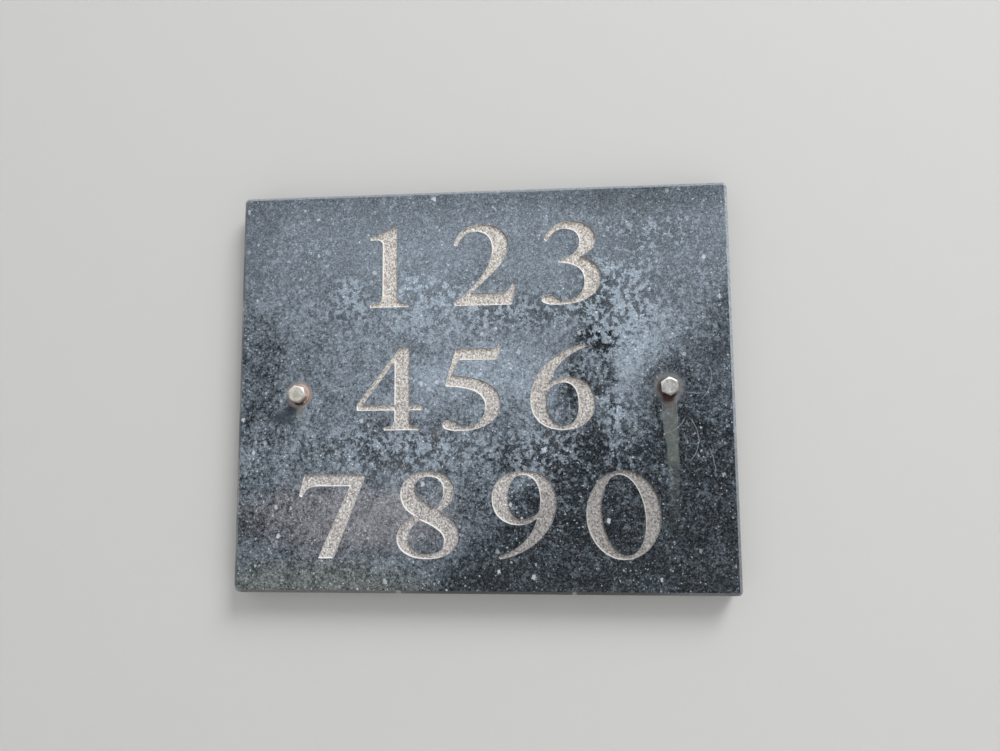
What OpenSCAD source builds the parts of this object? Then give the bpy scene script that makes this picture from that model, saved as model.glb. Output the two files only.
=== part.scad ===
// Polished stone plaque held by two hexagon-head sleeve anchors.
// The flat back of the stone lies on the plane y = 0, its front faces -Y and the anchors reach to +Y.
// The origin is the middle of the back face, +X is to the right and +Z is up. All sizes are in mm.

/* [Stone] */
// Width of the stone
stone_w = 365; // [320:1:420]
// Height of the stone
stone_h = 297; // [200:1:400]
// Thickness of the stone
stone_t = 20; // [12:1:30]
// Radius of its four corners, seen from the front
corner_r = 3.5; // [3:0.1:8]
// Width of the bevel round its front face
bevel = 2.3; // [0.5:0.1:2.8]
// Distance of the left hole from the middle, along X
left_hole_x = -135.7; // [-150:0.1:-100]
// Height of the left hole above the middle
left_hole_z = -4.1; // [-40:0.1:40]
// Distance of the right hole from the middle, along X
right_hole_x = 135.7; // [100:0.1:150]
// Height of the right hole above the middle
right_hole_z = -2; // [-40:0.1:40]
// Diameter of the drilled holes
hole_d = 10.5; // [10.4:0.1:12]

/* [Bolts] */
// Diameter of the plain shank
shank_d = 7.9; // [7.8:0.1:7.9]
// Mean diameter of the threaded end
thread_d = 7.2; // [7:0.1:7.2]
// Length of the threaded end
thread_l = 24; // [20:1:30]
// Length of the bolt under its head
bolt_l = 70; // [65:1:80]
// Width of the head across its flats
head_af = 12; // [11.8:0.1:13]
// Diameter of the flat top of the head, inside its chamfer
head_top_d = 10.4; // [10:0.1:11.6]
// Height of the head
head_h = 5.3; // [5:0.1:5.6]
// Turn of the left head, counter-clockwise from a corner at the top
left_turn = 15; // [0:1:59]
// Turn of the right head, counter-clockwise from a corner at the top
right_turn = 4; // [0:1:59]

/* [Washers] */
// Outer diameter of a washer
washer_d = 16; // [15:0.1:18]
// Hole of a washer
washer_hole_d = 8.4; // [8.3:0.1:8.6]
// Thickness of a washer
washer_t = 1.6; // [1.2:0.1:2]

/* [Anchors] */
// Outer diameter of the sleeves
sleeve_d = 10; // [9.8:0.1:10]
// Thickness of the steel of the sleeves
sleeve_wall = 0.8; // [0.6:0.1:0.8]
// Depth behind the stone at which the spacer sleeve ends
spacer_depth = 12; // [8:1:14]
// Length of the plastic ring between the sleeves
ring_l = 4; // [3:1:5]
// Length of the expansion sleeve
expansion_l = 21; // [18:1:24]
// Length of the slots in the expansion sleeve
slot_l = 9; // [7:1:11]
// Width of the slots
slot_w = 1.3; // [1.2:0.1:1.6]
// Number of slots, and of the ribs of the nut that sit in them
slot_count = 4; // [3:1:4]
// How far the slotted fingers are spread at their tips
spread = 0.25; // [0.1:0.01:0.25]
// Length of the cone nut
nut_l = 14; // [12:1:16]

/* [Hidden] */
$fn = 64;

// Colours
stone_colour = [0.20, 0.22, 0.25];
zinc_colour = [0.72, 0.70, 0.66];
rust_colour = [0.45, 0.27, 0.18];
sleeve_colour = [0.66, 0.65, 0.60];
plastic_colour = [0.16, 0.17, 0.18];

// How far a cut runs past the solid that it cuts
over = 1;

// Depths behind the stone at which the ring and the expansion sleeve end, and at which its slots start
ring_depth = spacer_depth + ring_l;
sleeve_end = spacer_depth + ring_l + expansion_l;
slot_start = sleeve_end - slot_l;

// Where the two holes are on the stone
left_hole = [left_hole_x, left_hole_z];
right_hole = [right_hole_x, right_hole_z];

// Radii of the parts on each bolt: the ring and the nut are a little slimmer than the sleeves
ring_inset = 0.2;
nut_inset = 0.1;
thread_clearance = 0.05;
sleeve_r = sleeve_d / 2;
sleeve_bore_r = sleeve_r - sleeve_wall;
ring_r = sleeve_r - ring_inset;
nut_r = sleeve_r - nut_inset;
nut_bore_r = thread_d / 2 + thread_clearance;

// The ring's groove, where it folds when the bolt is tightened
ring_groove = 0.3;

// The cone of the nut: it meets the tips of the fingers, less a play, and its nose is inside them
play = 0.02;
nose_reach = 4;
nose_clearance = 0.05;
cone_at_tips_r = sleeve_bore_r + spread - play;
nose_depth = sleeve_end - nose_reach;
nose_r = sleeve_bore_r - nose_clearance;
cone_slope = (cone_at_tips_r - nose_r) / nose_reach;
cone_end = nose_depth + (nut_r - nose_r) / cone_slope;
nut_chamfer = 0.6;

// The nut's ribs, which are narrower than the slots
rib_clearance = 0.2;
rib_w = slot_w - 2 * rib_clearance;

// Head details: the round seat that it stands on, and the cone that turns off its corners
seat_h = 0.4;
seat_inset = 0.5;
seat_r = head_af / 2 - seat_inset;
head_r = head_af / 2 / cos(30);
head_top_r = head_top_d / 2;
head_chamfer_deg = 30;

// Chamfers of the bolt's tip and of the washer's front edge
end_chamfer = 1;
washer_chamfer = 0.3;

// Turns a part that is drawn with its front on the +Z side, so that its front faces -Y
module face_front() {
    rotate([90, 0, 0]) children();
}

// Places a part at one of the two holes
module at_hole(hole) {
    translate([hole.x, 0, hole.y]) face_front() children();
}

// A ring about the Z axis from one height to another, where the lower height may be behind the stone
module tube(outer_r, inner_r, from, to) {
    translate([0, 0, from]) difference() {
        cylinder(r = outer_r, h = to - from);
        translate([0, 0, -over]) cylinder(r = inner_r, h = to - from + 2 * over);
    }
}

// The full outline of the stone, with its rounded corners
module stone_outline() {
    square([stone_w - 2 * corner_r, stone_h], center = true);
    square([stone_w, stone_h - 2 * corner_r], center = true);
    for (x = [-1, 1], y = [-1, 1])
        translate([x * (stone_w / 2 - corner_r), y * (stone_h / 2 - corner_r)]) circle(r = corner_r);
}

// A ridge with bevelled long sides, as wide as the face that it bevels
module bevelled_ridge(length, width) {
    rotate([90, 0, 90]) linear_extrude(length, center = true)
        polygon([[-width / 2, 0], [width / 2, 0], [width / 2 - bevel, bevel], [-width / 2 + bevel, bevel]]);
}

// The front layer of the stone, where its sides and corners slope in
module bevelled_front() {
    bevelled_ridge(stone_w - 2 * corner_r, stone_h);
    rotate([0, 0, 90]) bevelled_ridge(stone_h - 2 * corner_r, stone_w);
    for (x = [-1, 1], y = [-1, 1])
        translate([x * (stone_w / 2 - corner_r), y * (stone_h / 2 - corner_r)])
            cylinder(r1 = corner_r, r2 = corner_r - bevel, h = bevel);
}

module stone_slab() {
    color(stone_colour) face_front() difference() {
        union() {
            linear_extrude(stone_t - bevel) stone_outline();
            translate([0, 0, stone_t - bevel]) bevelled_front();
        }
        for (hole = [left_hole, right_hole])
            translate([hole.x, hole.y, -over]) cylinder(d = hole_d, h = stone_t + 2 * over);
    }
}

// A hexagon head standing on its round seat, with the corners turned off at the top
module hex_head(turn) {
    cylinder(r = seat_r, h = seat_h);
    intersection() {
        translate([0, 0, seat_h]) rotate([0, 0, 90 + turn])
            cylinder(r = head_r, h = head_h - seat_h, $fn = 6);
        rotate_extrude() polygon([
            [0, 0], [head_r + over, 0],
            [head_r + over, head_h - (head_r + over - head_top_r) * tan(head_chamfer_deg)],
            [head_top_r, head_h], [0, head_h]
        ]);
    }
}

// The bolt is one turned profile under its head: plain shank, threaded end and chamfered tip
module bolt(hole, turn) {
    seat = stone_t + washer_t;
    color(zinc_colour) at_hole(hole) translate([0, 0, seat]) {
        hex_head(turn);
        rotate_extrude() polygon([
            [0, 0], [shank_d / 2, 0],
            [shank_d / 2, thread_l - bolt_l], [thread_d / 2, thread_l - bolt_l - (shank_d - thread_d) / 2],
            [thread_d / 2, end_chamfer - bolt_l], [thread_d / 2 - end_chamfer, -bolt_l], [0, -bolt_l]
        ]);
    }
}

module washer(hole) {
    color(rust_colour) at_hole(hole) translate([0, 0, stone_t]) rotate_extrude() polygon([
        [washer_hole_d / 2, 0], [washer_d / 2, 0],
        [washer_d / 2, washer_t - washer_chamfer], [washer_d / 2 - washer_chamfer, washer_t],
        [washer_hole_d / 2, washer_t]
    ]);
}

module spacer_sleeve(hole) {
    color(sleeve_colour) at_hole(hole) tube(sleeve_r, sleeve_bore_r, -spacer_depth, stone_t);
}

// The plastic ring, with a groove round its middle
module crush_ring(hole) {
    color(plastic_colour) at_hole(hole) rotate_extrude() polygon([
        [sleeve_bore_r, -ring_depth], [ring_r, -ring_depth],
        [ring_r, -ring_depth + ring_l / 4], [ring_r - ring_groove, -ring_depth + ring_l / 2],
        [ring_r, -ring_depth + ring_l * 3 / 4],
        [ring_r, -spacer_depth], [sleeve_bore_r, -spacer_depth]
    ]);
}

// One slot with a round inner end, open at the far end of the sleeve
module slot() {
    translate([0, -slot_w / 2, -sleeve_end - over]) cube([sleeve_r + over, slot_w, slot_l + over]);
    translate([0, 0, -slot_start]) rotate([0, 90, 0]) cylinder(d = slot_w, h = sleeve_r + over);
}

// The expansion sleeve: a plain tube whose slotted fingers spread a little towards their tips
module expansion_sleeve(hole) {
    color(sleeve_colour) at_hole(hole) difference() {
        rotate_extrude() polygon([
            [sleeve_bore_r, -ring_depth], [sleeve_r, -ring_depth], [sleeve_r, -slot_start],
            [sleeve_r + spread, -sleeve_end], [sleeve_bore_r + spread, -sleeve_end],
            [sleeve_bore_r, -slot_start]
        ]);
        for (i = [0 : slot_count - 1]) rotate([0, 0, i * 360 / slot_count]) slot();
    }
}

// The cone nut: its nose is inside the fingers, and its ribs sit in the slots so that it can't turn
module cone_nut(hole) {
    nut_end = nose_depth + nut_l;
    color(zinc_colour) at_hole(hole) difference() {
        union() {
            rotate_extrude() polygon([
                [0, -nose_depth], [nose_r, -nose_depth], [nut_r, -cone_end],
                [nut_r, -nut_end + nut_chamfer], [nut_r - nut_chamfer, -nut_end], [0, -nut_end]
            ]);
            for (i = [0 : slot_count - 1]) rotate([0, 0, i * 360 / slot_count])
                intersection() {
                    translate([0, -rib_w / 2, -cone_end]) cube([sleeve_r, rib_w, cone_end - nose_depth]);
                    translate([0, 0, -cone_end]) cylinder(r = nut_r, h = cone_end - nose_depth);
                }
        }
        translate([0, 0, -nut_end - over]) cylinder(r = nut_bore_r, h = nut_l + 2 * over);
    }
}

stone_slab();
bolt(left_hole, left_turn);  // left_bolt
washer(left_hole);  // left_washer
spacer_sleeve(left_hole);  // left_spacer_sleeve
crush_ring(left_hole);  // left_crush_ring
expansion_sleeve(left_hole);  // left_expansion_sleeve
cone_nut(left_hole);  // left_cone_nut
bolt(right_hole, right_turn);  // right_bolt
washer(right_hole);  // right_washer
spacer_sleeve(right_hole);  // right_spacer_sleeve
crush_ring(right_hole);  // right_crush_ring
expansion_sleeve(right_hole);  // right_expansion_sleeve
cone_nut(right_hole);  // right_cone_nut
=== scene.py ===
"""Looks of a polished stone plaque that two hexagon-head sleeve anchors hold.

Lengths are in millimetres in the row frame, unless a name ends in _m. The origin is the middle of the
stone's flat back face, x runs to the right, y from the front to the back, and z up.
"""

import math

import bpy
import numpy as np
from mathutils import Matrix, Vector, geometry, noise


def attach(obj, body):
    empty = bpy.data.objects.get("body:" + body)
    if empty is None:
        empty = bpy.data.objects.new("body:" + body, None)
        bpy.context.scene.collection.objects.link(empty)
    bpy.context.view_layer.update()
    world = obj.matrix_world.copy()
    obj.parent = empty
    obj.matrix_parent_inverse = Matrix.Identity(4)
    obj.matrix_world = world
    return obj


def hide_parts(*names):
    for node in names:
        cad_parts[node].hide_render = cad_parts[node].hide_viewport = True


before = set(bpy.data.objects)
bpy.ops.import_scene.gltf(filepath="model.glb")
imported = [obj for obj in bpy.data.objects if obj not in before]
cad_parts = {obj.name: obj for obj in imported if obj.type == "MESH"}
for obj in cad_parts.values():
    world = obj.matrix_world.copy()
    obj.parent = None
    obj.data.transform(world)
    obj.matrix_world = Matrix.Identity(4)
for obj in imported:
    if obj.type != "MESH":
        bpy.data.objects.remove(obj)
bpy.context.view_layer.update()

MM = 0.001

# The stone, as in the CAD
STONE_W = 365
STONE_H = 297
STONE_T = 20
CORNER_R = 3.5
BEVEL = 2.3
HOLE_R = 5.25
HOLES = {"left": (-135.7, -4.1), "right": (135.7, -2)}

# The edge of the stone's back is sharp in the CAD and a little broken here
BACK_CHAMFER = 0.3

# The fixings, as in the CAD
WASHER_R = 8
WASHER_HOLE_R = 4.2
WASHER_T = 1.6
HEAD_APOTHEM = 6
HEAD_CORNER_R = 6.86
HEAD_H = 5.3
HEAD_TOP_R = 5.2
SEAT_R = 5.5
SEAT_H = 0.4
HEAD_TURN = {"left": 15, "right": 4}
SHANK_R = 3.95
THREAD_ROOT_R = 3.3
THREAD_PITCH = 1.25
THREAD_L = 24
BOLT_L = 70

# The three rows of numerals: the figures, the middle of each one, and the row's baseline
CAP_HEIGHT = 61
NUMERAL_WIDENING = 1.08
ROWS = (
    ("123", (-67.9, 2.7, 68.7), 60.5),
    ("456", (-67.1, -5.7, 59.5), -31.3),
    ("7890", (-108.9, -38.5, 31.5, 101.7), -123),
)

# Outlines of the numerals in hundredths of the cap height, from a baseline at 0 and centred on x = 0.
# Each is a start point, then two numbers for a straight side or six for a curve with its two handles.
ONE = [
    (8.5, 100.5), (4.5, 100.5), (-3, 95, -13, 90, -23, 88.5), (-23, 84), (-17, 85, -8.5, 86.5, -8.5, 78),
    (-8.5, 14), (-8.5, 7, -12, 5, -23, 4), (-23, 0), (23, 0), (23, 4), (12, 5, 8.5, 7, 8.5, 14),
]
TWO = [
    (-33, 4), (-12, 22, 10, 44, 10, 70), (10, 84, 2, 92, -9, 92), (-19, 92, -26, 86, -29.5, 74), (-34, 75),
    (-31, 92, -18, 101, -3, 101), (16, 101, 28, 91, 28, 74), (28, 52, 6, 36, -14, 15), (16, 15),
    (26, 15, 29, 17, 33, 27), (37, 26), (32, 0), (-33, 0),
]
THREE = [
    (-32, 79), (-28, 77), (-24, 87, -17, 92, -9, 92), (2, 92, 8, 86, 8, 76), (8, 64, -1, 57, -16, 54),
    (-16, 50.5), (4, 49, 13, 42, 13, 27), (13, 12, 3, 3.5, -10, 3.5), (-17, 3.5, -19, 11, -27, 11),
    (-32, 11, -35, 8.5, -35, 5), (-35, 0, -27, -1.5, -16, -1.5), (12, -1.5, 31, 10, 31, 31),
    (31, 44, 24, 53, 8, 57), (20, 62, 26, 69, 26, 79), (26, 92, 15, 101.5, -3, 101.5),
    (-17, 101.5, -27, 93, -32, 79),
]
FOUR = [
    (22, 100.5), (11, 100.5), (-38, 31), (-38, 24), (5, 24), (5, 13), (5, 6, 2, 5, -7, 4), (-7, 0),
    (34, 0), (34, 4), (25, 5, 22, 6, 22, 13), (22, 24), (37, 24), (37, 31), (22, 31),
]
FOUR_COUNTER = [(5, 83), (5, 31), (-31, 31)]
FIVE = [
    (-19, 98), (24, 98), (27, 98, 28, 99.5, 30, 103), (33, 102), (27.5, 84), (-16.5, 84), (-21.5, 65),
    (4, 64, 31, 56, 31, 31), (31, 10, 12, -1.5, -14, -1.5), (-26, -1.5, -34, 0.5, -34, 6),
    (-34, 9.5, -31, 12, -26.5, 12), (-19, 12, -17, 4, -8, 4), (5, 4, 14, 13, 14, 28),
    (14, 44, -2, 51, -29, 52), (-31, 53),
]
SIX = [
    (27.5, 101.5), (0, 97, -35, 73, -35, 34), (-35, 12, -21, -1.5, 1, -1.5), (22, -1.5, 36, 11, 36, 31),
    (36, 50, 24, 62, 7, 62), (-1, 62, -8, 59, -13.5, 54), (-8, 76, 8, 91, 28.5, 98),
]
SIX_COUNTER = [
    (2, 3.5), (-10, 3.5, -17, 15, -17, 33), (-17, 38, -16.5, 42, -15.5, 46), (-11, 52, -4, 55, 2, 55),
    (12, 55, 18, 46, 18, 29), (18, 13, 12, 3.5, 2, 3.5),
]
SEVEN = [
    (-33, 98), (36, 98), (36, 94), (2, -1), (-16, -1), (19, 84), (-17, 84), (-27, 84, -31, 80, -35, 71),
    (-39, 72),
]
EIGHT = [
    (0, 101.5), (18, 101.5, 29, 92, 29, 78), (29, 68, 23, 60, 12, 54), (26, 47, 34, 38, 34, 26),
    (34, 9, 20, -1.5, -1, -1.5), (-22, -1.5, -35, 8, -35, 23), (-35, 34, -27, 43, -15, 48.5),
    (-26, 55, -31, 64, -31, 74), (-31, 91, -18, 101.5, 0, 101.5),
]
EIGHT_UPPER = [
    (0, 95), (-10, 95, -15, 89, -15, 82), (-15, 71, -5, 65, 7, 58), (14, 63, 17, 70, 17, 78),
    (17, 89, 11, 95, 0, 95),
]
EIGHT_LOWER = [
    (-9, 44), (-17, 38, -22, 31, -22, 22), (-22, 11, -13, 4.5, 0, 4.5), (11, 4.5, 18, 10, 18, 19),
    (18, 30, 7, 36, -9, 44),
]

# How the numerals are cut
CUT_DEPTH = 1.4
CUT_SIDE = 1
CUT_GRAIN = 0.16
CUT_GRAIN_SIZE = 1.1
OUTLINE_STEP = 0.5
RAGGEDNESS = 0.09
RAGGED_PER_MM = 0.9

# Rows of points follow a cut's side at these distances, and an uneven grid fills the rest
SIDE_ROWS = (0.25, 0.6)
FLOOR_FROM = 0.85
FLOOR_STEP = 0.56
UNEVENNESS = 0.3

# Chips along the front arris: where each is, how wide, and how deep it goes
CHIPS = (
    (-181.5, -147.5, 4.5, 1.3),
    (-181.8, 62, 2.2, 0.5),
    (-60, -147.6, 2.6, 0.5),
    (66, -147.6, 2, 0.6),
    (181.8, 96, 2.4, 0.6),
    (181.8, -34, 2, 0.4),
    (14, 147.6, 2, 0.4),
)

# About how deep the arris is worn between the chips, and the most wear: the corners of the face have
# a radius of 1.1 mm, and deeper wear would turn them inside out
FINE_WEAR = 0.2
MOST_WEAR = 1
WEAR_PER_MM = 0.35

# The rust on the washers
PIT_DEPTH = 0.16
PITS_PER_MM = 1.3

# Noise vectors follow the clock unless they are seeded
SEED = 7
noise.seed_set(SEED)


def flatten(path, steps=14):
    """The corner and curve points of an outline that is written as above."""
    points = [np.array(path[0], float)]
    t = np.linspace(0, 1, steps + 1)[1:, None]
    for step in path[1:]:
        if len(step) == 2:
            points.append(np.array(step, float))
            continue
        start = points[-1]
        first, second, end = np.array(step, float).reshape(3, 2)
        curve = (1 - t) ** 3 * start + 3 * (1 - t) ** 2 * t * first
        points.extend(curve + 3 * (1 - t) * t**2 * second + t**3 * end)
    return np.array(points)


def full_turn(count=72):
    """Angles all round, evenly spaced."""
    return np.linspace(0, 2 * math.pi, count, endpoint=False)


def ring(centre, radius, turn):
    """A loop round a place, counter-clockwise as seen from the front, with one radius or many."""
    return np.array(centre) + np.column_stack([radius * np.cos(turn), radius * np.sin(turn)])


def oval(half_w, half_h, lean_deg=0):
    """An oval whose middle is half the cap height up, leaning by an angle."""
    turn = full_turn()
    x, y = half_w * np.cos(turn), half_h * np.sin(turn)
    cos, sin = math.cos(math.radians(lean_deg)), math.sin(math.radians(lean_deg))
    return np.column_stack([x * cos - y * sin, 50 + x * sin + y * cos])


def numeral_outlines():
    """The closed outlines of each figure. The nine is the six turned half round."""
    six = [flatten(SIX), flatten(SIX_COUNTER)]
    return {
        "1": [flatten(ONE)],
        "2": [flatten(TWO)],
        "3": [flatten(THREE)],
        "4": [flatten(FOUR), flatten(FOUR_COUNTER)],
        "5": [flatten(FIVE)],
        "6": six,
        "7": [flatten(SEVEN)],
        "8": [flatten(EIGHT), flatten(EIGHT_UPPER), flatten(EIGHT_LOWER)],
        "9": [np.array([0, 100]) - outline for outline in six],
        "0": [oval(40, 51.5), oval(23, 46.5, lean_deg=6)],
    }


def resampled(points):
    """A closed outline with evenly spaced points."""
    closed = np.vstack([points, points[:1]])
    along = np.concatenate([[0], np.cumsum(np.linalg.norm(np.diff(closed, axis=0), axis=1))])
    count = max(12, round(along[-1] / OUTLINE_STEP))
    at = np.linspace(0, along[-1], count, endpoint=False)
    return np.column_stack([np.interp(at, along, closed[:, axis]) for axis in (0, 1)])


def blasted_outline(points):
    """An outline as grit leaves it: corners a little round and sides a little ragged."""
    outline = resampled(points)
    for _ in range(3):
        outline = (np.roll(outline, 1, axis=0) + 2 * outline + np.roll(outline, -1, axis=0)) / 4
    ragged = [noise.noise_vector(Vector((x, 0, z)) * RAGGED_PER_MM)[:2] for x, z in outline]
    return outline + RAGGEDNESS * np.array(ragged)


def carved_figures():
    """The outlines of every numeral on the stone, one list of closed outlines for each."""
    shapes = numeral_outlines()
    scale = np.array([NUMERAL_WIDENING, 1]) * CAP_HEIGHT / 100
    return [
        [blasted_outline(outline * scale + (x, baseline)) for outline in shapes[figure]]
        for figures, middles, baseline in ROWS
        for figure, x in zip(figures, middles)
    ]


def inside(points, outlines):
    """Whether each point is inside the outlines, by the even-odd rule."""
    odd = np.zeros(len(points), bool)
    x, y = points.T
    for outline in outlines:
        for (x0, y0), (x1, y1) in zip(outline, np.roll(outline, -1, axis=0)):
            if y0 != y1:
                odd ^= ((y0 > y) != (y1 > y)) & (x < (x1 - x0) * (y - y0) / (y1 - y0) + x0)
    return odd


def distance_to(points, outlines):
    """How far each point is from the nearest side of the outlines."""
    nearest = np.full(len(points), np.inf)
    for outline in outlines:
        for start, end in zip(outline, np.roll(outline, -1, axis=0)):
            side = end - start
            share = np.clip(((points - start) @ side) / (side @ side), 0, 1)[:, None]
            nearest = np.minimum(nearest, np.linalg.norm(points - start - share * side, axis=1))
    return nearest


def triangulated(loops, loose=()):
    """The points of the loops and the loose points, and the triangles between them that lie inside.

    Every side of the loops is kept, and a loop inside a loop is a hole.
    """
    points = np.vstack([*loops, *loose])
    sides = []
    first = 0
    for loop in loops:
        count = len(loop)
        sides.extend((first + i, first + (i + 1) % count) for i in range(count))
        first += count
    found = geometry.delaunay_2d_cdt([Vector(p) for p in points], sides, [], 0, 1e-7)
    source = np.array([ids[0] for ids in found[3]])
    triangles = source[np.array(found[2])]
    return points, triangles[inside(points[triangles].mean(axis=1), loops)]


def placed(name, data):
    """An object in the scene."""
    thing = bpy.data.objects.new(name, data)
    bpy.context.scene.collection.objects.link(thing)
    return thing


class Surface:
    """Gathers points and faces in millimetres, and makes one Blender object of them."""

    def __init__(self):
        self.points = []
        self.faces = []
        self.finishes = []
        self.smooth = []

    def add_points(self, xz, y):
        """Adds points at x, z and a depth y, one for all or one each, and returns their numbers."""
        first = len(self.points)
        depths = np.broadcast_to(y, len(xz))
        self.points.extend((x, depth, z) for (x, z), depth in zip(xz, depths))
        return np.arange(first, len(self.points))

    def add_faces(self, faces, finish=0, smooth=True):
        self.faces.extend(tuple(int(i) for i in face) for face in faces)
        self.finishes.extend([finish] * len(faces))
        self.smooth.extend([smooth] * len(faces))

    def add_strip(self, front, back, finish=0):
        """Joins two loops that run counter-clockwise as seen from the front."""
        after_front, after_back = np.roll(front, -1), np.roll(back, -1)
        self.add_faces(np.column_stack([front, back, after_back, after_front]), finish)

    def make(self, name, materials):
        mesh = bpy.data.meshes.new(name)
        mesh.from_pydata([Vector(p) * MM for p in self.points], [], self.faces)
        for material in materials:
            mesh.materials.append(material)
        mesh.polygons.foreach_set("material_index", self.finishes)
        mesh.polygons.foreach_set("use_smooth", self.smooth)
        mesh.validate()
        mesh.update()
        return placed(name, mesh)


def perimeter():
    """Points about 1 mm apart on a rectangle inside the stone's rounded outline, and the ways out to it."""
    corner_steps = 8
    half_w, half_h = STONE_W / 2 - CORNER_R, STONE_H / 2 - CORNER_R
    corners = [(half_w, -half_h), (half_w, half_h), (-half_w, half_h), (-half_w, -half_h)]
    core, outward = [], []
    for number, corner in enumerate(corners):
        start_angle = math.radians(90 * number - 90)
        for i in range(corner_steps):
            angle = start_angle + math.radians(90) * i / corner_steps
            core.append(corner)
            outward.append((math.cos(angle), math.sin(angle)))
        following = corners[(number + 1) % 4]
        count = round(math.dist(corner, following))
        angle = start_angle + math.radians(90)
        for i in range(count):
            share = i / count
            core.append([a + (b - a) * share for a, b in zip(corner, following)])
            outward.append((math.cos(angle), math.sin(angle)))
    return np.array(core), np.array(outward)


def arris_wear(places):
    """How far the front arris is worn back at each place: a fine unevenness, and the chips."""
    uneven = [max(0, noise.fractal(Vector((x, 0, z)) * WEAR_PER_MM, 1, 2, 3)) for x, z in places]
    wear = np.array(uneven) * FINE_WEAR
    for x, z, radius, depth in CHIPS:
        share = np.linalg.norm(places - (x, z), axis=1) / radius
        wear += depth * np.clip(1 - share**2, 0, None)
    return np.minimum(wear, MOST_WEAR)


def cut_floor_points(outlines, chance):
    """Loose points inside one numeral: rows that follow the cut's side, then an uneven grid on its floor."""
    rows = []
    for inset in SIDE_ROWS:
        for outline in outlines:
            along = np.roll(outline, -1, axis=0) - np.roll(outline, 1, axis=0)
            along /= np.linalg.norm(along, axis=1)[:, None]
            across = np.column_stack([-along[:, 1], along[:, 0]])
            for side in (-inset, inset):
                row = outline + across * side
                near = distance_to(row, outlines)
                rows.append(row[inside(row, outlines) & (near > 0.9 * inset)])
    low = np.min([outline.min(axis=0) for outline in outlines], axis=0)
    high = np.max([outline.max(axis=0) for outline in outlines], axis=0)
    xs, zs = np.meshgrid(*[np.arange(low[axis], high[axis], FLOOR_STEP) for axis in (0, 1)])
    grid = np.column_stack([xs.ravel(), zs.ravel()])
    grid += chance.uniform(-UNEVENNESS, UNEVENNESS, grid.shape) * FLOOR_STEP
    grid = grid[inside(grid, outlines)]
    return [*rows, grid[distance_to(grid, outlines) > FLOOR_FROM]]


def cut_depths(points, outlines):
    """The depth of the blasted surface below the polished face: a steep side, then a grainy floor."""
    def grain(depth, size):
        return np.array([noise.noise(Vector((x, depth, z)) / size) for x, z in points])

    share = np.clip(distance_to(points, outlines) / CUT_SIDE, 0, 1)
    side = CUT_DEPTH * (1 - (1 - share) ** 2)
    grains = grain(0, CUT_GRAIN_SIZE) + 0.6 * grain(5, 0.5 * CUT_GRAIN_SIZE)
    return side + CUT_GRAIN * grains * share


def add_cut_figure(stone, outlines, chance, finish):
    """One numeral as a blasted hollow. Returns the numbers of the points along its outlines."""
    points, triangles = triangulated(outlines, cut_floor_points(outlines, chance))
    on_outline = sum(len(outline) for outline in outlines)
    depth = cut_depths(points, outlines)
    depth[:on_outline] = 0
    numbers = stone.add_points(points, -STONE_T + depth)
    stone.add_faces(numbers[triangles], finish)
    return numbers[:on_outline]


def build_stone(materials):
    """The stone with its worn bevel, drilled holes, and numerals blasted into its polished face."""
    polished, bevelled, blasted, sawn = range(4)
    stone = Surface()
    chance = np.random.default_rng(SEED)
    figures = carved_figures()
    figure_numbers = [add_cut_figure(stone, outlines, chance, blasted) for outlines in figures]

    core, outward = perimeter()
    wear = arris_wear(core + outward * (CORNER_R - BEVEL / 2))

    def loop(inset, y):
        return stone.add_points(core + outward * (CORNER_R - np.broadcast_to(inset, len(core)))[:, None], y)

    # From the edge of the face over the bevel and the side to the chamfer at the back. The bevel's edges
    # are rounded, and wear moves them back
    rounding = 0.2
    face_edge = core + outward * (CORNER_R - BEVEL - rounding / 2 - wear)[:, None]
    loops = [
        stone.add_points(face_edge, -STONE_T),
        loop(BEVEL - rounding + wear, -STONE_T + 0.12),
        loop(rounding + 0.5 * wear, -STONE_T + BEVEL - rounding + 0.3 * wear),
        loop(0.2 * wear, -STONE_T + BEVEL + 0.15 + 0.3 * wear),
        loop(0, -BACK_CHAMFER),
        loop(BACK_CHAMFER, 0),
    ]
    for number, (front, back) in enumerate(zip(loops, loops[1:])):
        stone.add_strip(front, back, bevelled if number < 3 else sawn)

    holes = [ring(centre, HOLE_R, full_turn()) for centre in HOLES.values()]
    hole_fronts = [stone.add_points(hole, -STONE_T) for hole in holes]
    hole_backs = [stone.add_points(hole, 0) for hole in holes]
    for front, back in zip(hole_fronts, hole_backs):
        stone.add_strip(back, front, sawn)

    outlines = [outline for figure in figures for outline in figure]
    _, triangles = triangulated([face_edge, *holes, *outlines])
    numbers = np.concatenate([loops[0], *hole_fronts, *figure_numbers])
    stone.add_faces(numbers[triangles], polished, smooth=False)

    _, triangles = triangulated([core + outward * (CORNER_R - BACK_CHAMFER), *holes])
    numbers = np.concatenate([loops[-1], *hole_backs])
    stone.add_faces(numbers[triangles][:, ::-1], sawn, smooth=False)
    return stone.make("carved_stone", materials)


def soft_least(a, b, blend):
    """The lesser of two lengths, with a rounded change from one to the other."""
    return -blend * np.log(np.exp(-a / blend) + np.exp(-b / blend))


def hexagon_radius(turn, start_deg):
    """The distance from the axis to a hexagon's side, where a corner is at the start angle."""
    sector = math.radians(60)
    from_corner = np.mod(turn - math.radians(start_deg), sector)
    return HEAD_APOTHEM / np.cos(from_corner - sector / 2)


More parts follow.
